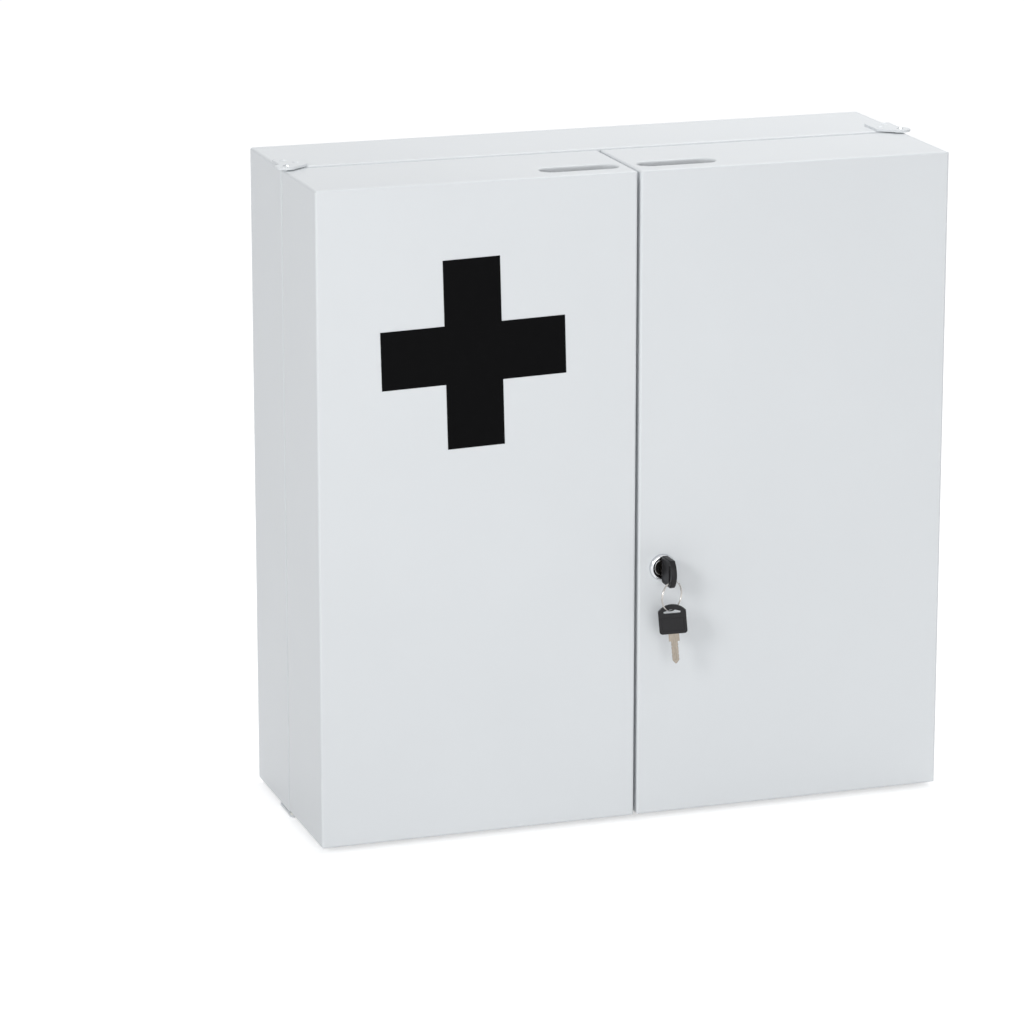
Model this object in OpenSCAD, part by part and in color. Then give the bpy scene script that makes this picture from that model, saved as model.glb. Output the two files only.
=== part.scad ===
// Lockable wall cabinet for medicines: a shallow body on the wall and two deep doors.
// Millimetres. X runs to the right, Y runs back to the wall and Z runs up. The origin is
// the centre of the back panel's outer face, in the middle of the four wall holes.

/* [Cabinet] */
// Width over the side faces
cabinet_w = 530; // [440:1:640]
// Height of the body
cabinet_h = 535; // [490:1:640]
// Depth from the wall to the face of the doors
cabinet_d = 190; // [175:1:240]
// Depth of the body behind the doors
body_d = 92; // [80:1:104]
// Thickness of the folded sheet steel
sheet = 1; // [0.8:0.1:1.4]
// Outside radius of the sheet bends
bend_r = 2; // [1.5:0.1:2.4]
// Width of the flange along the top and bottom front edges of the body
body_flange = 14; // [13:0.5:20]
// Width of the flange along the front edges of the sides
side_flange = 10; // [6:0.5:14]

/* [Wall holes] */
// Spacing of the wall holes across the cabinet
wall_hole_w = 420; // [300:1:430]
// Spacing of the wall holes up the cabinet
wall_hole_h = 420; // [390:1:460]
// Diameter of each wall hole
wall_hole_d = 8; // [5:0.5:10]

/* [Shelves] */
// Height of the lowest shelf above the outside of the bottom
first_shelf = 93; // [70:1:120]
// Spacing from one shelf to the next
shelf_pitch = 147; // [125:1:160]
// How far the body shelves stop behind the front of the body
shelf_setback = 4; // [3:0.5:15]
// Height of the turned-down edges of the body shelves
shelf_edge = 12; // [8:0.5:20]
// Height of the lip that keeps things in the door trays
tray_lip = 24; // [15:1:40]
// Height of the turned-down ends of the door trays
tray_end = 10; // [6:0.5:16]

/* [Doors] */
// Gap between the two doors
door_gap = 2.6; // [1.6:0.1:4]
// Gap between the body and the doors
seam_gap = 1.5; // [1.3:0.1:2.5]
// How far the doors stop short of the body at the top, and again at the bottom
door_clear = 1; // [0.7:0.1:2]
// Width of the flange round the back of each door
door_flange = 12; // [11:0.5:18]

/* [Grip slots] */
// Length of the grip slot in the top of each door
grip_l = 65; // [45:1:70]
// Width of the grip slot
grip_w = 20; // [16:1:30]
// Middle of the slot from the middle of the cabinet
grip_x = 41; // [40:1:90]
// Middle of the slot behind the face of the door
grip_y = 28; // [25:1:50]
// Depth of the slot's turned-down rim
grip_rim = 6; // [3:0.5:12]

/* [Hinges] */
// Pivot axis in from the side face
pivot_in = 3; // [2.8:0.1:3.6]
// Pivot axis forward of the back edge of the door
pivot_back = 3; // [2.8:0.1:3.6]
// Diameter of the hinge pins
pin_d = 3; // [2.4:0.1:3.2]
// How far the hinge pins stand through the stiffening plates
pin_over = 1.5; // [0.5:0.5:5]
// Diameter of the heads of the hinge pins
pin_head_d = 5.6; // [4.4:0.2:6.4]
// Thickness of the hinge plates
plate_t = 2; // [1.5:0.1:3]
// Width of the hinge plates, in from the side faces
plate_w = 22; // [20:1:32]
// Length of the hinge plates behind the seam
plate_back = 26; // [22:1:40]
// Diameter of the eye on the top hinge plates
top_eye_d = 17; // [10:0.5:20]
// Diameter of the eye on the bottom hinge plates
low_eye_d = 7.6; // [6.8:0.1:12]
// Diameter of the plate rivets
rivet_d = 3.2; // [2.4:0.2:4]
// Diameter of the rivet heads
rivet_head_d = 6.4; // [5:0.2:8]
// Height of the domed heads of rivets and pins
dome_h = 1.2; // [0.8:0.1:2]
// Outside diameter of the nylon hinge washers
washer_d = 5.6; // [5:0.1:6]
// Size of the stiffening plate round each pivot, across the door
stiffener_w = 18; // [12:1:30]
// Size of the stiffening plate from back to front
stiffener_l = 14; // [10:1:24]
// Thickness of the stiffening plates
stiffener_t = 2; // [1:0.5:3]

/* [Catches] */
// Diameter of the door magnets
magnet_d = 9; // [6:0.5:9]
// Middle of each magnet from the middle of the cabinet
magnet_x = 60; // [50:1:150]
// Diameter of the rubber stops
stop_d = 8; // [5:0.5:10]
// Middle of each stop from the middle of the cabinet
stop_x = 180; // [160:1:185]

/* [Door latch] */
// Width of the latch that holds the left door
latch_w = 10; // [8:0.5:11]
// Thickness of the latch
latch_t = 1.2; // [0.8:0.1:1.3]
// Distance from the latch's pivot to its step
latch_step = 17; // [14:0.5:24]
// How far the latch reaches up behind the body flange
latch_hold = 9; // [6:0.5:9.5]
// Depth of the finger tab at the end of the latch
latch_tab = 9; // [5:0.5:14]
// Diameter of the latch's pivot rivet
latch_pin_d = 4; // [3:0.2:5]

/* [Cross] */
// Height and width of the cross
cross_span = 152; // [90:1:200]
// Width of each arm of the cross
cross_arm = 47; // [25:0.5:70]
// Thickness of the film
cross_t = 0.3; // [0.2:0.05:0.6]
// Middle of the cross below the top of the cabinet
cross_drop = 137.5; // [110:0.5:200]
// Middle of the cross to the left of the door's middle
cross_left = 4; // [0:0.5:20]
// Turn of the cross as it was stuck on, in degrees
cross_turn = 1.5; // [0:0.5:4]

/* [Lock] */
// Middle of the lock from the middle of the cabinet
lock_x = 21.5; // [20:0.5:26]
// Middle of the lock below the middle shelf
lock_below = 31; // [30:0.5:60]
// Diameter of the lock's bezel
bezel_d = 22; // [21:0.5:28]
// How far the bezel stands out from the door
bezel_h = 3.5; // [2.5:0.5:4]
// Diameter of the lock's barrel
barrel_d = 18.5; // [17.5:0.1:19.5]
// Length of the barrel behind the face of the door
barrel_l = 24; // [22:0.5:34]
// Diameter of the plug
plug_d = 15.8; // [14:0.1:16]
// Thickness of the nut
nut_t = 5; // [3:0.5:8]
// Width of the nut across its flats
nut_flats = 24; // [23:0.5:27]
// Thickness of the washer under the nut
lock_washer_t = 1; // [0.5:0.1:2]
// Length of the cam from the axis to its tip
cam_reach = 35.5; // [33:0.5:42]
// Width of the cam
cam_w = 16; // [14:0.5:18]
// Thickness of the cam
cam_t = 2; // [1.5:0.1:3]
// Side of the square that drives the cam
cam_square = 8; // [6:0.5:9]
// Thickness of the keeper plate in the left door
keeper_t = 1.5; // [1:0.1:3]

/* [Keys] */
// Width of the key heads
head_w = 22.5; // [22:0.5:30]
// Height of the key heads
head_h = 24; // [23:0.5:32]
// Thickness of the key heads
head_t = 4.6; // [3:0.1:4.8]
// Radius of the corners at the foot of each head
head_foot_r = 2.5; // [1:0.5:6]
// Length of the slot in each head
head_slot_l = 14; // [13:0.5:15]
// Width of the slot in each head
head_slot_w = 5; // [5:0.1:5.6]
// Height of head left above the slot
head_top = 3.4; // [3:0.2:5]
// Length of the blade
blade_l = 25; // [20:0.5:25]
// Width of the blade next to the head
blade_w = 8.7; // [7:0.1:9]
// Width of the cut part of the blade
cut_w = 5.6; // [4:0.1:6.6]
// Thickness of the blade
blade_t = 2.2; // [1.8:0.1:2.4]
// How far the head of the key in the lock stands in front of the door
key_stand = 5; // [4.5:0.5:8]
// Outside diameter of the split ring
ring_d = 25; // [23:0.5:30]
// Diameter of the ring's wire
ring_wire = 0.8; // [0.6:0.05:0.8]
// Turn of the ring about the upright, in degrees
ring_turn = 30; // [28:1:32]
// Turn of the spare key the other way, in degrees
spare_turn = 18; // [10:1:20]
// Lean of the spare key, in degrees
spare_lean = 5; // [0:1:6]

/* [Hidden] */
$fn = 48;

LEFT = -1;
RIGHT = 1;
TOP = 1;
BOTTOM = -1;
LOWER = 0;
MIDDLE = 1;
UPPER = 2;

// Clearances
turning = 0.05;      // round a pin or plug that turns
loose = 0.15;        // round a blade in its keyway and a square in its hole
apart = 0.3;         // between pieces that move past each other
swing_room = 1;      // beyond the ends and edges of what swings
cam_side_room = 1.4; // each side of the cam in its slots
past = 1;            // how far a cut runs past the face that it opens

// Colours
paint = [0.9, 0.91, 0.92];
zinc = [0.72, 0.73, 0.74];
chrome = [0.8, 0.8, 0.82];
key_metal = [0.65, 0.61, 0.56];
black = [0.05, 0.05, 0.055];
nylon = [0.93, 0.93, 0.9];

// The body
inner_w = cabinet_w - 2 * sheet;
inner_h = cabinet_h - 2 * sheet;
seam_y = -body_d;
flange_z = cabinet_h / 2 - (body_flange + sheet) / 2;
catch_h = seam_gap - apart;
shelf_z = [for (i = [LOWER:UPPER]) -cabinet_h / 2 + first_shelf + i * shelf_pitch];

// The doors
back_y = seam_y - seam_gap;
face_y = -cabinet_d;
door_l = back_y - face_y;
door_w = (cabinet_w - door_gap) / 2;
door_h = cabinet_h - 2 * door_clear;
door_outer_x = -cabinet_w / 2;
door_inner_x = -door_gap / 2;

// The hinges
pivot = [-cabinet_w / 2 + pivot_in, back_y - pivot_back];
eye_lap = 0.4; // how far that edge runs inside the rim
rivet_edge = 7;
rivet_places = [[plate_w - rivet_edge, rivet_edge + 2], [rivet_edge, plate_back - rivet_edge]];

// The latch
flange_edge_z = cabinet_h / 2 - body_flange;
latch_x = door_inner_x - door_flange / 2;
latch_z = flange_edge_z - norm([latch_step, latch_w / 2]) - swing_room;
latch_reach = flange_edge_z - latch_z + latch_hold;
hook_y = seam_y + sheet + apart;

// The lock
lock_z = shelf_z[MIDDLE] - lock_below;
plug_end = barrel_l + apart;
cam_y = face_y + plug_end + cam_t / 2;
tenon_l = cam_t - 0.1;
cam_screw_d = 4.8;
cam_screw_l = 3.4;
cam_slot_w = cam_t + 2 * cam_side_room;
cam_slot_up = cam_w / 2 + swing_room;
cam_slot_down = cam_reach * sin(acos((lock_x + door_inner_x - sheet) / cam_reach)) + swing_room;
keeper_margin = 7;

// The keys and their ring
slot_corner = 0.6;
tang_w = 6;
tang_l = 10;
slot_mid = head_h - head_top - head_slot_w / 2;
ring_in = ring_d / 2 - ring_wire;
turn_offset = 0.47 * ring_wire;
ring_half = turn_offset + ring_wire / 2;
hang_y = face_y - key_stand - slot_mid;
key_cross = (head_t / 2 + ring_half * sin(ring_turn)) / cos(ring_turn);
spare_to_ring = ring_turn + spare_turn;
spare_cross = (head_t / 2 + ring_half * cos(spare_to_ring)) / sin(spare_to_ring);
ring_z = lock_z - head_slot_l / 2 - ring_in + sag(key_cross) + 2 * loose;
ring_low_z = ring_z - ring_in;
spare_slot_z = ring_low_z + sag(spare_cross) + spare_cross * sin(spare_lean) + loose;

// How far the inside of the ring has risen at a distance s along its wire
function sag(s) = ring_in - sqrt(ring_in * ring_in - s * s);

// Draws what is made for the left side, or its mirror image for the right side
module on(side) {
    if (side == RIGHT) mirror([1, 0, 0]) children();
    else children();
}

// Draws what is made for the top, or its mirror image for the bottom
module at(end) {
    if (end == BOTTOM) mirror([0, 0, 1]) children();
    else children();
}

// A block between two corners
module block(low, high) {
    translate(low) cube(high - low);
}

// A block between two corners with every edge rounded as folded sheet is
module folded_block(low, high) {
    size = high - low;
    translate((low + high) / 2) intersection() {
        rotate([90, 0, 0]) linear_extrude(size[1], center = true)
            round_rect(size[0], size[2], bend_r);
        linear_extrude(size[2], center = true) round_rect(size[0], size[1], bend_r);
        rotate([90, 0, 90]) linear_extrude(size[0], center = true)
            round_rect(size[1], size[2], bend_r);
    }
}

// A round bar along Y, from the back forward
module bar_y(d, back, front) {
    translate([0, back, 0]) rotate([90, 0, 0]) cylinder(d = d, h = back - front);
}

// A rectangle round the origin with round corners
module round_rect(w, h, r) {
    square([w - 2 * r, h], center = true);
    square([w, h - 2 * r], center = true);
    for (sx = [-1, 1], sy = [-1, 1])
        translate([sx * (w / 2 - r), sy * (h / 2 - r)]) circle(r);
}

// A slot shape with round ends
module stadium(l, w) {
    square([l - w, w], center = true);
    for (s = [-1, 1]) translate([s * (l - w) / 2, 0]) circle(d = w);
}

// A domed head, flat below
module dome(d, h) {
    r = (d * d / 4 + h * h) / (2 * h);
    rotate_extrude() intersection() {
        translate([0, h - r]) circle(r);
        square([d / 2, h]);
    }
}

// Puts its children on the outside of the body at each plate rivet
module at_rivets() {
    for (side = [LEFT, RIGHT], end = [TOP, BOTTOM], place = rivet_places)
        on(side) at(end)
            translate([-cabinet_w / 2 + place[0], seam_y + place[1], cabinet_h / 2])
                children();
}

// Puts its children in the four places x from the middle along the body flanges
module at_flange(x) {
    for (side = [LEFT, RIGHT], end = [TOP, BOTTOM])
        on(side) at(end) translate([-x, 0, flange_z]) children();
}

// Sides, top and bottom in one wrap, with a flange turned in round the front
module body_shell() {
    mouth = [cabinet_w / 2 - side_flange, cabinet_h / 2 - body_flange];
    color(paint) difference() {
        folded_block([-cabinet_w / 2, seam_y, -cabinet_h / 2],
                     [cabinet_w / 2, bend_r, cabinet_h / 2]);
        block([-cabinet_w / 2, 0, -cabinet_h / 2] - [past, 0, past],
              [cabinet_w / 2, bend_r, cabinet_h / 2] + [past, past, past]);
        block([-inner_w / 2, seam_y + sheet, -inner_h / 2], [inner_w / 2, past, inner_h / 2]);
        block([-mouth[0], seam_y - past, -mouth[1]], [mouth[0], seam_y + 2 * sheet, mouth[1]]);
        at_rivets() cylinder(d = rivet_d + 2 * turning, h = 3 * sheet, center = true);
        at_flange(magnet_x) bar_y(magnet_d + 2 * turning, seam_y + sheet + past, seam_y - past);
    }
}

module back_panel() {
    color(paint) difference() {
        block([-inner_w / 2, -sheet, -inner_h / 2], [inner_w / 2, 0, inner_h / 2]);
        for (sx = [-1, 1], sz = [-1, 1])
            translate([sx * wall_hole_w / 2, 0, sz * wall_hole_h / 2])
                bar_y(wall_hole_d, past, -sheet - past);
    }
}

// A plate with its front edge and both ends turned down
module body_shelf(level) {
    front_y = seam_y + shelf_setback;
    color(paint) translate([0, 0, shelf_z[level]]) difference() {
        block([-inner_w / 2, front_y, -shelf_edge], [inner_w / 2, -sheet, 0]);
        block([-inner_w / 2 + sheet, front_y + sheet, -shelf_edge - past],
              [inner_w / 2 - sheet, 0, -sheet]);
    }
}

// The outline from above of a hinge plate without its eye, with a straight edge from the
// inner corner that runs just inside the eye's rim
module hinge_plate_outline(eye_d) {
    corner = [-cabinet_w / 2 + plate_w, seam_y];
    inside = eye_d / 2 - eye_lap;
    to_pivot = pivot - corner;
    bearing = atan2(to_pivot[1], to_pivot[0]) + asin(inside / norm(to_pivot));
    edge = sqrt(norm(to_pivot) * norm(to_pivot) - inside * inside);
    polygon([corner + [0, plate_back], corner, corner + edge * [cos(bearing), sin(bearing)],
             pivot, [-cabinet_w / 2, pivot[1]], [-cabinet_w / 2, seam_y + plate_back]]);
}

// A plate riveted over the end of the body, with an eye for the pin
module hinge_plate(side, end) {
    eye_d = end == TOP ? top_eye_d : low_eye_d;
    color(paint) on(side) at(end) translate([0, 0, cabinet_h / 2]) difference() {
        union() {
            linear_extrude(plate_t) hinge_plate_outline(eye_d);
            translate(pivot) cylinder(d = eye_d, h = plate_t);
        }
        translate([pivot[0], pivot[1], -past])
            cylinder(d = pin_d + 2 * turning, h = plate_t + 2 * past);
        for (place = rivet_places)
            translate([-cabinet_w / 2 + place[0], seam_y + place[1], -past])
                cylinder(d = rivet_d + 2 * turning, h = plate_t + 2 * past);
    }
}

module hinge_pins(side) {
    head_z = cabinet_h / 2 + plate_t;
    tip_z = door_h / 2 - sheet - stiffener_t - pin_over;
    color(zinc) for (end = [TOP, BOTTOM])
        on(side) at(end) translate([pivot[0], pivot[1], 0]) {
            translate([0, 0, head_z]) dome(pin_head_d, dome_h);
            translate([0, 0, tip_z]) cylinder(d = pin_d, h = head_z - tip_z);
        }
}

module hinge_plate_rivets() {
    tail_h = 0.8;
    color(paint) at_rivets() {
        translate([0, 0, plate_t]) dome(rivet_head_d, dome_h);
        translate([0, 0, -sheet - tail_h]) cylinder(d = rivet_d, h = plate_t + sheet + tail_h);
        translate([0, 0, -sheet - tail_h]) cylinder(d = 1.5 * rivet_d, h = tail_h);
    }
}

// Magnets pressed through the body flange, each with a collar behind it
module door_magnets() {
    collar = 1;
    color(zinc) at_flange(magnet_x) {
        bar_y(magnet_d, seam_y + sheet + collar, seam_y - catch_h);
        bar_y(magnet_d + 2 * collar, seam_y + sheet + collar, seam_y + sheet);
    }
}

module door_stops() {
    color(black) at_flange(stop_x) bar_y(stop_d, seam_y, seam_y - catch_h);
}

// The section of the grip slot's rim, which the sheet turns down into, with the strip of
// flat sheet that it starts from
module grip_rim_section() {
    translate([grip_w / 2, -grip_rim]) square([sheet, grip_rim - bend_r]);
    translate([grip_w / 2 + bend_r, -sheet]) square([sheet, sheet]);
    translate([grip_w / 2 + bend_r, -bend_r]) intersection() {
        difference() {
            circle(bend_r);
            circle(bend_r - sheet);
        }
        translate([-bend_r, 0]) square(bend_r);
    }
}

module at_grip() {
    translate([-grip_x, face_y + grip_y, door_h / 2]) children();
}

module grip_rim() {
    straight = grip_l - grip_w;
    at_grip() for (s = [-1, 1]) {
        translate([s * straight / 2, 0, 0]) rotate([0, 0, -s * 90])
            rotate_extrude(angle = 180) grip_rim_section();
        mirror([0, s == 1 ? 0 : 1, 0]) translate([-straight / 2, 0, 0]) rotate([90, 0, 90])
            linear_extrude(straight) grip_rim_section();
    }
}

module grip_cut() {
    at_grip() translate([0, 0, -sheet - past]) linear_extrude(sheet + 2 * past)
        stadium(grip_l + 2 * bend_r, grip_w + 2 * bend_r);
}

// The slots in the doors' facing sides and in the keeper, which the cam swings through
module cam_slot(from_x, to_x) {
    block([from_x, cam_y - cam_slot_w / 2, lock_z - cam_slot_down],
          [to_x, cam_y + cam_slot_w / 2, lock_z + cam_slot_up]);
}

module door_shell() {
    difference() {
        union() {
            difference() {
                folded_block([door_outer_x, face_y, -door_h / 2],
                             [door_inner_x, back_y, door_h / 2]);
                block([door_outer_x + sheet, face_y + sheet, -door_h / 2 + sheet],
                      [door_inner_x - sheet, back_y - sheet, door_h / 2 - sheet]);
                block([door_outer_x + door_flange, back_y - 2 * sheet, -door_h / 2 + door_flange],
                      [door_inner_x - door_flange, back_y + past, door_h / 2 - door_flange]);
                grip_cut();
            }
            grip_rim();
        }
        for (end = [TOP, BOTTOM])
            at(end) translate([pivot[0], pivot[1], door_h / 2])
                cylinder(d = pin_d + 2 * turning, h = 3 * sheet, center = true);
        cam_slot(door_inner_x - sheet - past, door_inner_x + past);
    }
}

module left_door_shell() {
    color(paint) difference() {
        door_shell();
        translate([latch_x, 0, latch_z])
            bar_y(latch_pin_d + 2 * turning, back_y + past, back_y - sheet - past);
    }
}

module right_door_shell() {
    color(paint) difference() {
        on(RIGHT) door_shell();
        at_lock() cylinder(d = barrel_d + 2 * loose, h = 3 * sheet, center = true);
    }
}

// A plate with a lip at the open side and both ends turned down
module door_tray(side, level) {
    x0 = door_outer_x + sheet;
    x1 = door_inner_x - sheet;
    y0 = face_y + sheet;
    y1 = back_y - sheet;
    color(paint) on(side) translate([0, 0, shelf_z[level]]) difference() {
        block([x0, y0, -tray_end], [x1, y1, tray_lip]);
        block([x0 - past, y0 - past, 0], [x1 + past, y1 - sheet, tray_lip + past]);
        block([x0 + sheet, y0 - past, -tray_end - past], [x1 - sheet, y1 + past, -sheet]);
    }
}

// Plates that stiffen the corners of the door where the hinge pins come through
module stiffeners(side) {
    x0 = door_outer_x + sheet;
    y1 = back_y - sheet;
    top_z = door_h / 2 - sheet;
    color(zinc) for (end = [TOP, BOTTOM])
        on(side) at(end) difference() {
            block([x0, y1 - stiffener_l, top_z - stiffener_t], [x0 + stiffener_w, y1, top_z]);
            translate([pivot[0], pivot[1], top_z - stiffener_t - past])
                cylinder(d = pin_d + 2 * turning, h = stiffener_t + 2 * past);
        }
}

module hinge_washers(side) {
    color(nylon) for (end = [TOP, BOTTOM])
        on(side) at(end) translate([pivot[0], pivot[1], door_h / 2]) difference() {
            cylinder(d = washer_d, h = door_clear);
            translate([0, 0, -past]) cylinder(d = pin_d + 2 * turning, h = door_clear + 2 * past);
        }
}

// A cross cut from film and stuck to the left door
module cross_emblem() {
    color(black)
        translate([(door_outer_x + door_inner_x) / 2 - cross_left, face_y,
                   cabinet_h / 2 - cross_drop])
            rotate([90, -cross_turn, 0]) linear_extrude(cross_t) {
                square([cross_span, cross_arm], center = true);
                square([cross_arm, cross_span], center = true);
            }
}

module cam_keeper() {
    x1 = door_inner_x - sheet;
    half = cam_slot_w / 2 + keeper_margin;
    color(zinc) difference() {
        block([x1 - keeper_t, cam_y - half, lock_z - cam_slot_down - keeper_margin],
              [x1, cam_y + half, lock_z + cam_slot_up + keeper_margin]);
        cam_slot(x1 - keeper_t - past, x1 + past);
    }
}

module at_latch() {
    translate([latch_x, 0, latch_z]) children();
}

module latch_rivet() {
    head_h = 1;
    front_y = back_y - sheet - head_h;
    color(zinc) at_latch() {
        bar_y(latch_pin_d, back_y + latch_t + head_h, front_y);
        bar_y(2 * latch_pin_d, back_y + latch_t + head_h, back_y + latch_t);
        bar_y(2 * latch_pin_d, front_y + head_h, front_y);
    }
}

// A swinging latch, stepped so that its end passes up behind the body flange
module door_latch() {
    half = latch_w / 2;
    color(zinc) at_latch() difference() {
        union() {
            bar_y(latch_w, back_y + latch_t, back_y);
            block([-latch_step, back_y, -half], [0, back_y + latch_t, half]);
            block([-latch_step, back_y, -half], [latch_t - latch_step, hook_y + latch_t, half]);
            block([-latch_reach, hook_y, -half], [latch_t - latch_step, hook_y + latch_t, half]);
            block([-latch_reach, hook_y, -half],
                  [latch_t - latch_reach, hook_y + latch_t + latch_tab, half]);
        }
        bar_y(latch_pin_d + 2 * turning, back_y + latch_t + past, back_y - past);
    }
}

// Turns Z to point out of the right door at the lock
module at_lock() {
    translate([lock_x, face_y, lock_z]) rotate([90, 0, 0]) children();
}

// The lock's body, with a round bezel dished down to the plug
module lock_housing() {
    bore = plug_d / 2 + turning;
    edge = 2.2;
    dish = 1.6;
    color(chrome) at_lock() difference() {
        union() {
            rotate_extrude() polygon([
                [0, 0], [bezel_d / 2, 0],
                for (a = [0:15:90])
                    [bezel_d / 2 - edge + edge * cos(a), bezel_h - edge + edge * sin(a)],
                [0, bezel_h]
            ]);
            translate([0, 0, -barrel_l]) cylinder(d = barrel_d, h = barrel_l + bezel_h / 2);
        }
        translate([0, 0, -barrel_l - past]) cylinder(r = bore, h = barrel_l + bezel_h + 2 * past);
        translate([0, 0, bezel_h - dish])
            cylinder(r1 = bore, r2 = bore + 0.8, h = dish);
    }
}

module lock_washer() {
    washer_flats = nut_flats + 2;
    color(zinc) at_lock() translate([0, 0, -sheet - lock_washer_t]) difference() {
        cylinder(d = washer_flats, h = lock_washer_t);
        translate([0, 0, -past]) cylinder(d = barrel_d + 2 * loose, h = lock_washer_t + 2 * past);
    }
}

module lock_nut() {
    color(zinc) at_lock() translate([0, 0, -sheet - lock_washer_t - nut_t]) difference() {
        cylinder(d = nut_flats / cos(30), h = nut_t, $fn = 6);
        translate([0, 0, -past]) cylinder(d = barrel_d + 2 * turning, h = nut_t + 2 * past);
    }
}

module lock_plug() {
    face = bezel_h - 1.9;
    keyway_end = blade_l - key_stand + past;
    square_side = cam_square;
    color(zinc) at_lock() difference() {
        union() {
            translate([0, 0, -plug_end]) cylinder(d = plug_d, h = plug_end + face);
            translate([-square_side / 2, -square_side / 2, -plug_end - tenon_l])
                cube([square_side, square_side, tenon_l + past]);
        }
        block([-blade_t / 2 - loose, -blade_w / 2 - loose, -keyway_end],
              [blade_t / 2 + loose, blade_w / 2 + loose, face + past]);
        translate([0, 0, -plug_end - tenon_l - past])
            cylinder(d = cam_screw_d + 2 * turning, h = cam_screw_l + 2 * past);
    }
}

// The cam hangs down when the lock is open
module lock_cam() {
    hole = cam_square + 2 * turning;
    color(zinc) at_lock() translate([0, 0, -plug_end - cam_t]) difference() {
        union() {
            cylinder(d = cam_w, h = cam_t);
            translate([-cam_w / 2, cam_w / 2 - cam_reach, 0])
                cube([cam_w, cam_reach - cam_w / 2, cam_t]);
            translate([0, cam_w / 2 - cam_reach, 0]) cylinder(d = cam_w, h = cam_t);
        }
        translate([-hole / 2, -hole / 2, -past]) cube([hole, hole, cam_t + 2 * past]);
    }
}

module cam_screw() {
    head_d = cam_square * sqrt(2) + 1.4;
    head_h = 2.6;
    color(zinc) at_lock() translate([0, 0, -plug_end - cam_t]) {
        cylinder(d = cam_screw_d, h = cam_screw_l);
        difference() {
            translate([0, 0, -head_h]) cylinder(d = head_d, h = head_h);
            for (turn = [0, 90])
                rotate([0, 0, turn]) translate([0, 0, -head_h])
                    cube([head_d / 2, 1.2, 2], center = true);
        }
    }
}

// A key stands in its own frame: the blade down, the head up, and its face to the front
module blade() {
    shoulder = 0.25 * blade_l;
    point = 3;
    cuts = [0.5, 1, 0.3, 0.8, 0.6];
    cut_pitch = (blade_l - shoulder - point) / len(cuts);
    groove_d = 0.5;
    groove_w = 1.4;
    edge = [for (i = [0:len(cuts) - 1], part = [0.25, 0.5, 0.75])
        [cut_w / 2 - (part == 0.5 ? cuts[i] : 0), -shoulder - (i + part) * cut_pitch]];
    right = concat([[tang_w / 2, tang_l], [tang_w / 2, 0], [blade_w / 2, 0],
                    [blade_w / 2, -shoulder], [cut_w / 2, -shoulder - 0.2]],
                   edge, [[cut_w / 2, -blade_l + point], [0.6, -blade_l]]);
    left = [for (i = [len(right) - 1:-1:0]) [-right[i][0], right[i][1]]];
    difference() {
        rotate([90, 0, 0]) linear_extrude(blade_t, center = true) polygon(concat(right, left));
        for (s = [-1, 1])
            translate([-groove_w / 2, s * (blade_t / 2) - groove_d, -blade_l + point])
                cube([groove_w, 2 * groove_d, blade_l - point - 1]);
    }
}

module head() {
    dome_r = 0.64 * head_w;
    half = head_w / 2;
    foot_x = half - head_foot_r;
    difference() {
        intersection() {
            union() {
                block([-half, -head_t / 2, head_foot_r], [half, head_t / 2, head_h]);
                block([-foot_x, -head_t / 2, 0], [foot_x, head_t / 2, head_h]);
                for (s = [-1, 1]) translate([s * foot_x, 0, head_foot_r])
                    bar_y(2 * head_foot_r, head_t / 2, -head_t / 2);
            }
            translate([0, 0, head_h - dome_r]) bar_y(2 * dome_r, head_t, -head_t);
        }
        translate([0, 0, slot_mid]) rotate([90, 0, 0])
            linear_extrude(head_t + 2 * past, center = true)
                round_rect(head_slot_l, head_slot_w, slot_corner);
        block([-tang_w / 2 - turning, -blade_t / 2 - turning, -past],
              [tang_w / 2 + turning, blade_t / 2 + turning, tang_l + turning]);
    }
}

module in_lock() {
    at_lock() translate([0, 0, key_stand]) rotate([0, 0, 90]) children();
}

module on_ring() {
    translate([lock_x, hang_y, spare_slot_z])
        rotate(a = -spare_lean, v = [sin(spare_turn), cos(spare_turn), 0])
            translate([0, 0, head_top - head_h]) rotate([0, 0, -spare_turn]) children();
}

module key_blade() {
    color(key_metal) in_lock() blade();
}

module key_head() {
    color(black) in_lock() head();
}

module spare_key_blade() {
    color(key_metal) on_ring() blade();
}

module spare_key_head() {
    color(black) on_ring() head();
}

// A split ring: two turns of wire side by side
module key_ring() {
    color(chrome) translate([lock_x, hang_y, ring_z]) rotate([90, 0, ring_turn])
        rotate_extrude() for (s = [-1, 1])
            translate([ring_d / 2 - ring_wire / 2, s * turn_offset]) circle(d = ring_wire, $fn = 24);
}

body_shell();
back_panel();
body_shelf(LOWER);  // lower_shelf
body_shelf(MIDDLE);  // middle_shelf
body_shelf(UPPER);  // upper_shelf
hinge_plate(LEFT, TOP);  // top_left_hinge_plate
hinge_plate(RIGHT, TOP);  // top_right_hinge_plate
hinge_plate(LEFT, BOTTOM);  // bottom_left_hinge_plate
hinge_plate(RIGHT, BOTTOM);  // bottom_right_hinge_plate
hinge_pins(LEFT);  // left_hinge_pins
hinge_pins(RIGHT);  // right_hinge_pins
hinge_plate_rivets();
door_magnets();
door_stops();
left_door_shell();
door_tray(LEFT, LOWER);  // left_lower_tray
door_tray(LEFT, MIDDLE);  // left_middle_tray
door_tray(LEFT, UPPER);  // left_upper_tray
stiffeners(LEFT);  // left_stiffeners
hinge_washers(LEFT);  // left_hinge_washers
cross_emblem();
cam_keeper();
latch_rivet();
door_latch();
right_door_shell();
door_tray(RIGHT, LOWER);  // right_lower_tray
door_tray(RIGHT, MIDDLE);  // right_middle_tray
door_tray(RIGHT, UPPER);  // right_upper_tray
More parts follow.
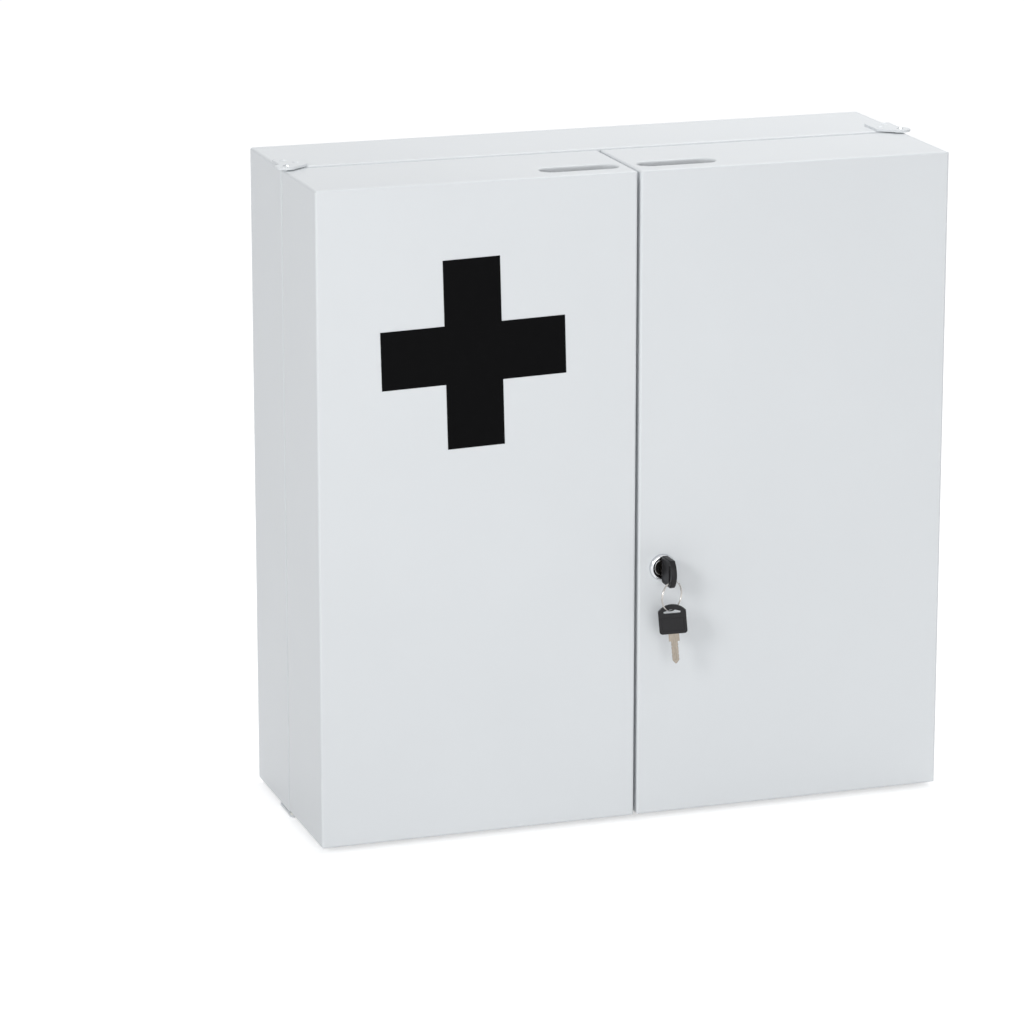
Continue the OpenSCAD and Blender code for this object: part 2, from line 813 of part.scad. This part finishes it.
stiffeners(RIGHT);  // right_stiffeners
hinge_washers(RIGHT);  // right_hinge_washers
lock_housing();
lock_washer();
lock_nut();
lock_plug();
lock_cam();
cam_screw();
key_blade();
key_head();
key_ring();
spare_key_blade();
spare_key_head();
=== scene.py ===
import math

import bmesh
import bpy
from mathutils import Matrix, Vector


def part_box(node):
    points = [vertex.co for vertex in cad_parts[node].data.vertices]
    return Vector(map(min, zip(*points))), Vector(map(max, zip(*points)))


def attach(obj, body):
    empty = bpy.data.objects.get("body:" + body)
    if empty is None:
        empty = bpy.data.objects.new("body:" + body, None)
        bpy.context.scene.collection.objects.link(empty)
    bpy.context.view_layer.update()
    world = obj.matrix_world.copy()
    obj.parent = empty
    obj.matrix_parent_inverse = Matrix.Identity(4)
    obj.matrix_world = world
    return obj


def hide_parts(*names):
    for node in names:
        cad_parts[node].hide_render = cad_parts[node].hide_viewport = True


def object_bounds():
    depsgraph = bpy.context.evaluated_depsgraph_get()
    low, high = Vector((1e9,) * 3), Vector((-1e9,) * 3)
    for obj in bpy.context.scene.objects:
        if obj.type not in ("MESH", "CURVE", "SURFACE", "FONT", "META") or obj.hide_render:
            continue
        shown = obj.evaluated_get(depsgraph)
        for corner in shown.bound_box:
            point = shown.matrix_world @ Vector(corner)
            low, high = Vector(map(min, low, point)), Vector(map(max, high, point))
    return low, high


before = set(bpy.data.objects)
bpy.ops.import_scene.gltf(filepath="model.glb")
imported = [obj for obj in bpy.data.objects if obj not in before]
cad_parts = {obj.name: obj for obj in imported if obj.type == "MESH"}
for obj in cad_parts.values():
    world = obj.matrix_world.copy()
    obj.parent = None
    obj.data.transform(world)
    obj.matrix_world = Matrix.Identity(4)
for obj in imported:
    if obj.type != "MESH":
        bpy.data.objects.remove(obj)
cad_box = [list(corner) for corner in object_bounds()]
MM = 0.001


# The camera
# A long lens 3.7 m off, on the cabinet's left and above its top, as for a catalogue picture.
# The picture is shifted down a little, which helps to keep the uprights upright.
CAMERA_PLACE = (-1.1743, -3.4017, 0.9173)
CAMERA_YAW = 0.3212
CAMERA_PITCH = -0.2421
CAMERA_LENS_MM = 155.5
CAMERA_SHIFT = -0.0996


def link(name, data):
    """An object made of this data, put in the scene."""
    made = bpy.data.objects.new(name, data)
    bpy.context.scene.collection.objects.link(made)
    return made


camera = link("camera", bpy.data.cameras.new("camera"))
bpy.context.scene.camera = camera
camera.location = CAMERA_PLACE
camera.rotation_euler = (math.pi / 2 + CAMERA_PITCH, 0, -CAMERA_YAW)
camera.data.sensor_width = 36
camera.data.lens = CAMERA_LENS_MM
camera.data.shift_y = CAMERA_SHIFT
camera.data.clip_end = 60
bpy.context.scene.view_settings.view_transform = "Standard"


# The studio
# A matt white floor that runs out to a white surround. To the eye both are plain white, and
# the floor shows only the soft shadow where the cabinet stands. Its own glow is weaker there
# than further out, where less lamp light falls.
FLOOR_HALF = 20
GLOW_NEAR = 0.5
GLOW_FAR = 0.66
GLOW_FADE = (0.4, 2.5)
ROOM_LIGHT = 0.42


def linear(hex_colour):
    """A colour written as sRGB hex, as the linear values that shaders take."""
    values = [int(hex_colour[i:i + 2], 16) / 255 for i in (1, 3, 5)]
    return [v / 12.92 if v <= 0.04045 else ((v + 0.055) / 1.055) ** 2.4 for v in values] + [1]


def add(tree, kind, settings=None, links=None):
    """Adds a node, sets its sockets or properties by name and links its inputs."""
    node = tree.nodes.new(kind)
    for name, value in (settings or {}).items():
        if name in node.inputs:
            node.inputs[name].default_value = value
        else:
            setattr(node, name, value)
    for name, source in (links or {}).items():
        tree.links.new(source, node.inputs[name])
    return node


def seen_directly(tree):
    """1 for what the camera sees, straight or in metal and glass, and 0 for light."""
    path = add(tree, "ShaderNodeLightPath").outputs
    mirror = add(tree, "ShaderNodeMath", {"operation": "MAXIMUM"})
    tree.links.new(path["Is Camera Ray"], mirror.inputs[0])
    tree.links.new(path["Is Glossy Ray"], mirror.inputs[1])
    either = add(tree, "ShaderNodeMath", {"operation": "MAXIMUM"})
    tree.links.new(mirror.outputs[0], either.inputs[0])
    tree.links.new(path["Is Transmission Ray"], either.inputs[1])
    return either.outputs[0]


def mesh_object(name, points, faces):
    """An object of a new mesh, from points in metres and faces."""
    mesh = bpy.data.meshes.new(name)
    mesh.from_pydata([Vector(p) for p in points], [], faces)
    return link(name, mesh)


world = bpy.data.worlds.new("surround")
bpy.context.scene.world = world
world.use_nodes = True
tree = world.node_tree
tree.nodes.clear()
room = add(tree, "ShaderNodeBackground", {"Color": linear("#F7F9FC"), "Strength": ROOM_LIGHT})
white = add(tree, "ShaderNodeBackground", {"Color": (1, 1, 1, 1), "Strength": 1})
mixed = add(tree, "ShaderNodeMixShader", links={"Fac": seen_directly(tree)})
tree.links.new(room.outputs[0], mixed.inputs[1])
tree.links.new(white.outputs[0], mixed.inputs[2])
add(tree, "ShaderNodeOutputWorld", links={"Surface": mixed.outputs[0]})

floor_z = cad_box[0][2]
floor = mesh_object("floor", [(x, y, floor_z) for x, y in
                              ((-FLOOR_HALF, -FLOOR_HALF), (FLOOR_HALF, -FLOOR_HALF),
                               (FLOOR_HALF, FLOOR_HALF), (-FLOOR_HALF, FLOOR_HALF))],
                    [(0, 1, 2, 3)])
floor_paint = bpy.data.materials.new("white_floor")
floor_paint.use_nodes = True
tree = floor_paint.node_tree
tree.nodes.clear()
matt = add(tree, "ShaderNodeBsdfDiffuse", {"Color": linear("#F0F0F0")})
away = add(tree, "ShaderNodeVectorMath", {"operation": "LENGTH"})
tree.links.new(add(tree, "ShaderNodeTexCoord").outputs["Object"], away.inputs[0])
fade = add(tree, "ShaderNodeMapRange",
           {"From Min": GLOW_FADE[0], "From Max": GLOW_FADE[1], "To Min": GLOW_NEAR,
            "To Max": GLOW_FAR}, {"Value": away.outputs["Value"]})
glow = add(tree, "ShaderNodeEmission", {"Color": (1, 1, 1, 1)},
           {"Strength": fade.outputs["Result"]})
lit = add(tree, "ShaderNodeAddShader")
tree.links.new(matt.outputs[0], lit.inputs[0])
tree.links.new(glow.outputs[0], lit.inputs[1])
mixed = add(tree, "ShaderNodeMixShader", links={"Fac": seen_directly(tree)})
tree.links.new(matt.outputs[0], mixed.inputs[1])
tree.links.new(lit.outputs[0], mixed.inputs[2])
add(tree, "ShaderNodeOutputMaterial", links={"Surface": mixed.outputs[0]})
floor.data.materials.append(floor_paint)


# The lamps
# A broad soft lamp in front lights the doors, and a smaller one far out on the left lights
# the side and throws the keys' soft shadow to the right. A third, above and a little to the
# right, lights the top.
LAMPS = {
    "front_lamp": {"towards": (-0.08, -0.8, 0.12), "away": 4.2, "size": 2.6, "level": 0.275},
    "left_lamp": {"towards": (-0.76, -0.64, 0.4), "away": 4, "size": 1.1, "level": 0.225},
    "top_lamp": {"towards": (0.32, 0.2, 0.86), "away": 2, "size": 1, "level": 0.38},
}

for name, lamp in LAMPS.items():
    light = bpy.data.lights.new(name, "AREA")
    light.shape = "DISK"
    light.size = lamp["size"]
    light.energy = lamp["level"] * math.pi ** 2 * lamp["away"] ** 2
    placed = link(name, light)
    towards = Vector(lamp["towards"]).normalized()
    placed.location = towards * lamp["away"]
    placed.rotation_euler = towards.to_track_quat("Z", "Y").to_euler()


# The body
# Mild steel sheet 1 mm thick, folded into a wrap with a flange turned in round the front,
# with a welded back and three welded shelves. It is powder coated white after welding, so
# every edge has the same skin.

def material(name, metallic=0, ior=None, specular=None):
    """A new material, its node tree and its shader, with the numbers that are even all over."""
    made = bpy.data.materials.new(name)
    made.use_nodes = True
    shader = made.node_tree.nodes["Principled BSDF"]
    shader.inputs["Metallic"].default_value = metallic
    if ior is not None:
        shader.inputs["IOR"].default_value = ior
    if specular is not None:
        shader.inputs["Specular IOR Level"].default_value = specular
    return made, made.node_tree, shader


def noise(tree, size_mm, detail):
    """A noise in the object's own space, with features of a size in mm."""
    place = add(tree, "ShaderNodeTexCoord").outputs["Object"]
    return add(tree, "ShaderNodeTexNoise", {"Scale": 1 / (size_mm * MM), "Detail": detail},
               {"Vector": place}).outputs["Fac"]


def two_tones(tree, shader, pattern, first, second):
    """Lets the colour drift between two sRGB colours along a pattern."""
    tone = add(tree, "ShaderNodeMix", {"data_type": "RGBA"}, {"Factor": pattern})
    tone.inputs[6].default_value = linear(first)
    tone.inputs[7].default_value = linear(second)
    tree.links.new(tone.outputs[2], shader.inputs["Base Color"])


def uneven_gloss(tree, shader, pattern, low, high):
    """Lets the roughness drift between two values along a pattern."""
    spread = add(tree, "ShaderNodeMapRange", {"To Min": low, "To Max": high}, {"Value": pattern})
    tree.links.new(spread.outputs["Result"], shader.inputs["Roughness"])


def relief(tree, shader, pattern, height_mm):
    """Bumps of a height in mm along a pattern."""
    bump = add(tree, "ShaderNodeBump", {"Distance": height_mm * MM}, {"Height": pattern})
    tree.links.new(bump.outputs["Normal"], shader.inputs["Normal"])


def dress(finish, slot, *names):
    """Gives CAD nodes their finish."""
    for name in names:
        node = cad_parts[name]
        for held in node.material_slots:
            held.link = "OBJECT"
            held.material = finish


def smooth(mesh, sharp_deg):
    """Smooth shading, but sharp edges where two faces turn by more than this."""
    for face in mesh.polygons:
        face.use_smooth = True
    mesh.set_sharp_from_angle(angle=math.radians(sharp_deg))


def eased(name, node, width_mm, turn_deg=35):
    """A copy of a CAD node with its edges eased by a small round."""
    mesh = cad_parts[node].data.copy()
    mesh.name = name
    if "custom_normal" in mesh.attributes:
        mesh.attributes.remove(mesh.attributes["custom_normal"])
    work = bmesh.new()
    work.from_mesh(mesh)
    bmesh.ops.remove_doubles(work, verts=work.verts, dist=0.002 * MM)
    bmesh.ops.dissolve_limit(work, angle_limit=math.radians(1), verts=work.verts,
                             edges=work.edges)
    work.to_mesh(mesh)
    work.free()
    made = link(name, mesh)
    mesh.materials.clear()
    smooth(mesh, turn_deg)
    round_off = made.modifiers.new("eased", "BEVEL")
    round_off.width = width_mm * MM
    round_off.segments = 2
    round_off.limit_method = "ANGLE"
    round_off.angle_limit = math.radians(turn_deg)
    round_off.harden_normals = True
    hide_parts(node)
    return made


def finish_piece(piece, finish, body):
    """Gives a new piece its finish, and the body that it rides on."""
    piece.data.materials.append(finish)
    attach(piece, body)


# The eye sees an even, satin, faintly bluish white that goes pale and glossy at a flat
# angle. The peel of the baked powder, about 1 mm wide, is drawn twice as coarse to show.
POWDER_PEEL_MM = 2.2
POWDER_TONE_MM = 140

powder_coat, tree, shader = material("white_powder_coat_on_steel", ior=1.5, specular=0.35)
two_tones(tree, shader, noise(tree, POWDER_TONE_MM, 2), "#E4E7E9", "#E8EBED")
peel = noise(tree, POWDER_PEEL_MM, 1)
uneven_gloss(tree, shader, peel, 0.36, 0.44)
relief(tree, shader, peel, 0.012)

SHEET_EASE = 0.3

dress(powder_coat, "white_powder_coat", "body_shell", "back_panel")
for level in ("lower", "middle", "upper"):
    finish_piece(eased(f"{level}_shelf_sheet", f"{level}_shelf", SHEET_EASE), powder_coat,
                 "cabinet")


# The shell of a door
# Each door is folded from one sheet: a deep tray with a flange turned in at the back, and
# a grip slot punched in its top, with the edge rolled down. Trays are welded inside.
for side in ("left", "right"):
    dress(powder_coat, "white_powder_coat", f"{side}_door_shell")
    for level in ("lower", "middle", "upper"):
        finish_piece(eased(f"{side}_{level}_tray_sheet", f"{side}_{level}_tray", SHEET_EASE),
                     powder_coat, f"{side}_door")


# The hinges
# Steel plates riveted over the body's four corners, painted with it. Bright zinc-plated
# pins go through them, with a nylon washer under each plate.
PLATE_EASE = 0.3

for end in ("top", "bottom"):
    for side in ("left", "right"):
        plate = eased(f"{end}_{side}_plate", f"{end}_{side}_hinge_plate", PLATE_EASE)
        finish_piece(plate, powder_coat, "cabinet")
dress(powder_coat, "white_powder_coat", "hinge_plate_rivets")

# Bright zinc plate looks cool and silvery, with cloudy greys where the bath left it uneven
# and a fine grain that softens its reflections. The grain is drawn coarser than it is.
ZINC_CLOUD_MM = 4
ZINC_GRAIN_MM = 0.5

zinc, tree, shader = material("bright_zinc_plate", metallic=1)
two_tones(tree, shader, noise(tree, ZINC_CLOUD_MM, 3), "#B4B8BC", "#CDD1D3")
uneven_gloss(tree, shader, noise(tree, ZINC_GRAIN_MM, 4), 0.22, 0.38)

dress(zinc, "zinc_plate", "left_hinge_pins", "right_hinge_pins",
      "left_stiffeners", "right_stiffeners")

# Undyed nylon looks milky and slightly warm beside the paint, with a dull, waxy shine.
nylon, tree, shader = material("natural_moulded_nylon", ior=1.53)
haze = noise(tree, 1.5, 2)
two_tones(tree, shader, haze, "#E9E8DF", "#F1F0E8")
uneven_gloss(tree, shader, haze, 0.42, 0.48)
dress(nylon, "white_nylon", "left_hinge_washers", "right_hinge_washers")


# Magnets and stops
# Nickel-plated magnets pressed through the body's flanges hold the doors shut, and moulded
# rubber dots keep the painted flanges apart.

# Bright nickel mirrors the room, a little warmer than chrome, with faint wiping marks.
nickel, tree, shader = material("bright_nickel_plate", metallic=1)
wipe = noise(tree, 3, 3)
two_tones(tree, shader, wipe, "#BBB8B3", "#BFBCB9")
uneven_gloss(tree, shader, wipe, 0.1, 0.22)
finish_piece(eased("magnets", "door_magnets", 0.4), nickel, "cabinet")

# Moulded rubber is a dull, dusty black with hardly any shine. Its pores are drawn coarser.
rubber, tree, shader = material("moulded_black_rubber")
pores = noise(tree, 0.4, 3)
two_tones(tree, shader, pores, "#1E1E1F", "#29292A")
relief(tree, shader, pores, 0.02)
shader.inputs["Roughness"].default_value = 0.75
finish_piece(eased("rubber_stops", "door_stops", 0.5), rubber, "cabinet")


# The cross
# A cross with equal arms, cut from black self-adhesive film and rubbed down by hand on the
# left door, a little askew.

# The film gives a deep, even black with a weak grey sheen, which ripples very slightly
# where it was rubbed down.
film, tree, shader = material("black_adhesive_vinyl_film", ior=1.45, specular=0.04)
ripple = noise(tree, 9, 1)
two_tones(tree, shader, ripple, "#0A0A0B", "#0D0D0E")
relief(tree, shader, ripple, 0.01)
shader.inputs["Roughness"].default_value = 0.32
dress(film, "black_film", "cross_emblem")


# The door latch and the keeper
# A pressed zinc-plated latch turns on a rivet inside the left door and hooks up behind the
# body's flange. A punched keeper plate stiffens the door's side where the cam comes in.
finish_piece(eased("latch", "door_latch", 0.25), zinc, "latch")
dress(zinc, "zinc_plate", "latch_rivet")
finish_piece(eased("keeper", "cam_keeper", 0.2), zinc, "left_door")


# The lock
# A chromed cam lock: a die-cast housing with a polished bezel and a threaded barrel, held
# by a washer and a hexagon nut, and a dark plug that turns the cam behind the door.
LATHE_STEPS = 96
BEZEL_EDGE = 2.2
BEZEL_DISH = 1.6
BARREL_R = 9.25
THREAD_PITCH = 1.0
THREAD_DEPTH = 0.45
ROWS_PER_TURN = 8

door_face_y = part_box("right_door_shell")[0].y
housing_low, housing_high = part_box("lock_housing")
lock_x = (housing_low.x + housing_high.x) / 2
lock_z = (housing_low.z + housing_high.z) / 2
bezel_r = (housing_high.x - housing_low.x) / 2 / MM
bezel_h = (door_face_y - housing_low.y) / MM
barrel_l = (housing_high.y - door_face_y) / MM
plug_low, plug_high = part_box("lock_plug")
plug_r = (plug_high.x - plug_low.x) / 2 / MM
plug_face = (door_face_y - plug_low.y) / MM
AT_LOCK = Matrix.Translation((lock_x, door_face_y, lock_z)) @ Matrix.Rotation(math.pi / 2, 4, "X")


def arc(centre, radius, start_deg, end_deg, steps=6):
    """Points in mm along an arc, from one angle to the other."""
    turn = (end_deg - start_deg) / steps
    return [(centre[0] + radius * math.cos(math.radians(start_deg + turn * i)),
             centre[1] + radius * math.sin(math.radians(start_deg + turn * i)))
            for i in range(steps + 1)]


def lathe(name, profile, at, shape=None, sharp_deg=40):
    """Turns a closed profile of (radius, height) points in mm round the local Z axis."""
    points, faces = [], []
    for step in range(LATHE_STEPS):
        angle = 2 * math.pi * step / LATHE_STEPS
        for radius, height in profile:
            r = shape(angle, radius, height) if shape else radius
            points.append(at @ Vector((r * MM * math.cos(angle), r * MM * math.sin(angle),
                                       height * MM)))
    count = len(profile)
    for step in range(LATHE_STEPS):
        after = (step + 1) % LATHE_STEPS
        for i in range(count):
            j = (i + 1) % count
            faces.append((step * count + i, after * count + i, after * count + j,
                          step * count + j))
    made = mesh_object(name, points, faces)
    smooth(made.data, sharp_deg)
    return made


bore_r = plug_r + 0.05
thread_end = -barrel_l + 0.8
thread_start = -1.2
rows = round((thread_start - thread_end) / THREAD_PITCH * ROWS_PER_TURN)
thread = [(BARREL_R, thread_end + (thread_start - thread_end) * i / rows)
          for i in range(rows + 1)]


def threaded(angle, radius, height):
    """Cuts a helical groove in the barrel."""
    if radius != BARREL_R or not thread_end <= height <= thread_start:
        return radius
    phase = (height / THREAD_PITCH + angle / (2 * math.pi)) % 1
    return radius - THREAD_DEPTH * abs(2 * phase - 1)


housing_profile = (
    [(bore_r, -barrel_l), (BARREL_R - 0.6, -barrel_l)]
    + thread
    + [(BARREL_R - 0.2, -1), (BARREL_R - 0.2, 0), (bezel_r - 0.4, 0), (bezel_r, 0.4)]
    + arc((bezel_r - BEZEL_EDGE, bezel_h - BEZEL_EDGE), BEZEL_EDGE, 0, 100, 8)
    + [(bore_r + 0.6, bezel_h - 0.12), (bore_r + 0.45, bezel_h - 0.35)]
    + [(bore_r + 0.25, bezel_h - BEZEL_DISH), (bore_r, bezel_h - BEZEL_DISH - 0.4)]
)

# Chrome plate mirrors the white room and the black key, cool and hard, and is dulled only
# by wiping marks.
chrome, tree, shader = material("polished_chrome_plate", metallic=1)
wipe = noise(tree, 4, 3)
two_tones(tree, shader, wipe, "#D4D6D9", "#D8DADD")
uneven_gloss(tree, shader, wipe, 0.05, 0.12)

housing = lathe("lock_bezel_and_barrel", housing_profile, AT_LOCK, threaded)
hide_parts("lock_housing")
finish_piece(housing, chrome, "right_door")

nut_low, nut_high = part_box("lock_nut")
nut_back = (door_face_y - nut_high.y) / MM
nut_front = (door_face_y - nut_low.y) / MM
NUT_FLAT_R = 12
NUT_CORNER_R = NUT_FLAT_R / math.cos(math.pi / 6)
CHAMFER_START = 0.3
CHAMFER_SLOPE = 1.75


def hexagon(angle, radius, height):
    """The outside of a hexagon nut, with its corners chamfered at both faces."""
    if radius < NUT_FLAT_R - 1:
        return radius
    off_flat = (math.degrees(angle) + 30) % 60 - 30
    corner = NUT_FLAT_R / math.cos(math.radians(off_flat))
    from_face = min(height - nut_back, nut_front - height)
    chamfer = NUT_FLAT_R - CHAMFER_START + max(0, from_face) * CHAMFER_SLOPE
    return min(corner, chamfer, NUT_CORNER_R)


nut_rows = [0, 0.15, 0.3, 0.5, 0.7, 0.9, 1.2]
heights = [nut_back + r for r in nut_rows] + [nut_front - r for r in reversed(nut_rows)]
nut_profile = ([(BARREL_R + 0.05, nut_front), (BARREL_R + 0.05, nut_back)]
               + [(NUT_FLAT_R, h) for h in heights])
nut = lathe("lock_hexagon_nut", nut_profile, AT_LOCK, hexagon, 30)
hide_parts("lock_nut")
finish_piece(nut, zinc, "right_door")
dress(zinc, "zinc_plate", "lock_washer")

# The cast plug is plated dark: nearly black, with small browner spots and glints on its
# edges, where the casting's skin is rough.
gunmetal, tree, shader = material("dark_chromed_zinc_casting", metallic=1)
wear = noise(tree, 1.2, 4)
two_tones(tree, shader, wear, "#2C2B2C", "#4A4846")
uneven_gloss(tree, shader, wear, 0.18, 0.36)
dress(gunmetal, "dark_chrome", "lock_plug")

# Three turned steps on the plug's face, one inside the other: a rim, a polished line that
# catches the light, and a dish. Their points are (radius, height above the face) in mm.
PLUG_STEPS = {
    "plug_rim": (gunmetal, "dark_chrome", ((7.85, -0.3), (7.85, 0.3), (7.6, 0.55),
                                           (7.25, 0.55), (7.1, 0.35), (7.1, -0.3))),
    "plug_polished_line": (chrome, "chrome", ((7.05, -0.3), (7.05, 0.35), (6.9, 0.55),
                                              (6.7, 0.6), (6.45, 0.5), (6.3, 0.25),
                                              (6.3, -0.3))),
    "plug_dish": (gunmetal, "dark_chrome", ((6.25, -0.3), (6.25, 0.15), (6, 0.3),
                                            (5.5, 0.05), (5.3, 0.05), (5.3, -0.3))),
}

for name, (finish, slot, steps) in PLUG_STEPS.items():
    step = lathe(name, [(r, plug_face + h) for r, h in steps], AT_LOCK)
    finish_piece(step, finish, "lock_core")

finish_piece(eased("cam", "lock_cam", 0.3), zinc, "lock_core")
finish_piece(eased("cam_bolt", "cam_screw", 0.2), zinc, "lock_core")


# The keys
# Blades stamped from nickel-plated brass with a milled groove and cut edges. The heads are
# black plastic moulded on, with soft edges, a slot for the ring and a sunk panel.

# Worn nickel over brass looks grey with a beige cast, dull where fingers and the lock rub
# it, so it throws no sharp reflections.
blade_metal, tree, shader = material("nickel_plated_brass_blade", metallic=1)
handled = noise(tree, 2.5, 4)
two_tones(tree, shader, handled, "#8C8378", "#A9A196")
uneven_gloss(tree, shader, handled, 0.24, 0.42)
for name in ("key", "spare_key"):
    finish_piece(eased(f"{name}_blade_metal", f"{name}_blade", 0.12), blade_metal,
                 name)

HEAD_W = 22.5
HEAD_H = 24
HEAD_T = 4.6
HEAD_FOOT_R = 2.5
HEAD_SLOT_L = 14
HEAD_SLOT_FOOT = 16.5
HEAD_SLOT_MID = 18.1
HEAD_SLOT_END_R = 1.3
HEAD_SLOT_ARCH_R = 12
HEAD_SLOT_TOP = 20.4
HEAD_EDGE = 0.55
PANEL_DEPTH = 0.35
DOME_R = 0.64 * HEAD_W

# Moulded ABS with a spark-eroded grain: charcoal black with a soft, wide highlight along
# the rounded edges. The grain is drawn coarser than it is.
key_plastic, tree, shader = material("moulded_black_abs", ior=1.5, specular=0.28)
grain = noise(tree, 0.5, 3)
two_tones(tree, shader, grain, "#121113", "#19181B")
relief(tree, shader, grain, 0.015)
uneven_gloss(tree, shader, grain, 0.43, 0.47)


def curve_mesh(curve):
    """The mesh that a curve makes."""
    holder = link(curve.name, curve)
    bpy.context.view_layer.update()
    mesh = bpy.data.meshes.new_from_object(holder)
    bpy.data.objects.remove(holder)
    return mesh


def outline_plate(name, loops, thick, edge):
    """A flat plate with rounded edges from closed outlines in mm; the later ones are holes."""
    curve = bpy.data.curves.new(name, "CURVE")
    curve.dimensions = "2D"
    curve.fill_mode = "BOTH"
    curve.extrude = (thick / 2 - edge) * MM
    curve.bevel_depth = edge * MM
    curve.bevel_resolution = 2
    curve.offset = -edge * MM
    for loop in loops:
        line = curve.splines.new("POLY")
        line.points.add(len(loop) - 1)
        for point, (x, y) in zip(line.points, loop):
            point.co = (x * MM, y * MM, 0, 1)
        line.use_cyclic_u = True
    return curve_mesh(curve)


def rounded(x0, y0, x1, y1, r):
    """The outline of a rectangle with round corners."""
    return (arc((x1 - r, y1 - r), r, 0, 90) + arc((x0 + r, y1 - r), r, 90, 180)
            + arc((x0 + r, y0 + r), r, 180, 270) + arc((x1 - r, y0 + r), r, 270, 360))


half = HEAD_W / 2
dome_mid = HEAD_H - DOME_R
dome_side = math.degrees(math.acos(half / DOME_R))
head_outline = (
    arc((half - HEAD_FOOT_R, HEAD_FOOT_R), HEAD_FOOT_R, 270, 360)
    + arc((0, dome_mid), DOME_R, dome_side, 180 - dome_side, 24)
    + arc((HEAD_FOOT_R - half, HEAD_FOOT_R), HEAD_FOOT_R, 180, 270)
)
slot_end = HEAD_SLOT_L / 2 - HEAD_SLOT_END_R
slot_low = HEAD_SLOT_FOOT + HEAD_SLOT_END_R
slot_outline = (
    arc((slot_end, slot_low), HEAD_SLOT_END_R, 270, 420, 8)
    + arc((0, HEAD_SLOT_TOP - HEAD_SLOT_ARCH_R), HEAD_SLOT_ARCH_R, 65, 115, 12)
    + arc((-slot_end, slot_low), HEAD_SLOT_END_R, 120, 270, 8)
)
panel_outline = rounded(-8.6, 2.6, 8.6, 13, 1.2)
panel_fill = rounded(-9.4, 1.8, 9.4, 13.8, 1.2)


def key_head(name, node, body, at):
    """A moulded head: a full rim round the slot and the panel, and the sunk panel."""
    made = link(name, outline_plate(name, [head_outline, slot_outline, panel_outline],
                                    HEAD_T, HEAD_EDGE))
    panel = outline_plate(name + "_panel", [panel_fill], HEAD_T - 2 * PANEL_DEPTH, 0.2)
    work = bmesh.new()
    work.from_mesh(made.data)
    work.from_mesh(panel)
    work.transform(at @ Matrix.Rotation(math.pi / 2, 4, "X"))
    bmesh.ops.recalc_face_normals(work, faces=work.faces)
    work.to_mesh(made.data)
    work.free()
    smooth(made.data, 35)
    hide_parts(node)
    finish_piece(made, key_plastic, body)


KEY_STAND = 5
key_foot_y = door_face_y - KEY_STAND * MM
AT_KEY = Matrix.Translation((lock_x, key_foot_y, lock_z)) @ Matrix.Rotation(math.pi / 2, 4, "X")
key_head("key_head_plastic", "key_head", "key", AT_KEY @ Matrix.Rotation(math.pi / 2, 4, "Z"))


# The split ring
# Two turns of nickel-plated spring wire, wound close, with the ends on either side of the
# one place where the wire crosses over. It hangs loose in the slot of the key's head.
RING_D = 25
RING_WIRE = 0.8
RING_TURN = math.radians(30)
CROSSING = math.radians(16)
SPLIT_AT = math.radians(60)
TURNS_APART = 0.94
RING_STEPS = 160

ring_low, ring_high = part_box("key_ring")
ring_mid = (ring_low + ring_high) / 2

ring_curve = bpy.data.curves.new("ring", "CURVE")
ring_curve.dimensions = "3D"
ring_curve.bevel_depth = RING_WIRE / 2 * MM
ring_curve.bevel_resolution = 4
ring_curve.use_fill_caps = True
line = ring_curve.splines.new("POLY")
line.points.add(RING_STEPS)
ring_r = (RING_D - RING_WIRE) / 2
for i in range(RING_STEPS + 1):
    angle = CROSSING + (4 * math.pi - 2 * CROSSING) * i / RING_STEPS
    over = max(-1, min(1, (angle - 2 * math.pi) / CROSSING))
    aside = TURNS_APART / 2 * RING_WIRE * math.sin(over * math.pi / 2)
    line.points[i].co = (ring_r * MM * math.cos(angle + SPLIT_AT),
                         ring_r * MM * math.sin(angle + SPLIT_AT), aside * MM, 1)
ring = link("split_ring", curve_mesh(ring_curve))
ring.data.transform(Matrix.Translation(ring_mid) @ Matrix.Rotation(RING_TURN, 4, "Z")
                    @ Matrix.Rotation(math.pi / 2, 4, "X"))
for face in ring.data.polygons:
    face.use_smooth = True
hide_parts("key_ring")
finish_piece(ring, nickel, "ring")


# The spare key's head
# The same moulding as the key in the lock, hanging from the ring by its slot, turned and
# leaning a little to the left.
SPARE_LEAN = math.radians(5)
SPARE_TURN = math.radians(18)
HEAD_TOP = 3.4

spare_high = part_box("spare_key_head")[1]
hang_y = door_face_y - (KEY_STAND + HEAD_SLOT_MID) * MM
lean = Matrix.Rotation(-SPARE_LEAN, 4, Vector((math.sin(SPARE_TURN), math.cos(SPARE_TURN), 0)))
hung = (lean @ Matrix.Translation((0, 0, (HEAD_TOP - HEAD_H) * MM))
        @ Matrix.Rotation(-SPARE_TURN, 4, "Z"))
highest = max((hung @ Vector((x * MM, y * HEAD_T / 2 * MM, z * MM))).z
              for x, z in head_outline for y in (-1, 1))
on_ring = Matrix.Translation((lock_x, hang_y, spare_high.z - highest)) @ hung
key_head("spare_key_head_plastic", "spare_key_head", "spare_key", on_ring)
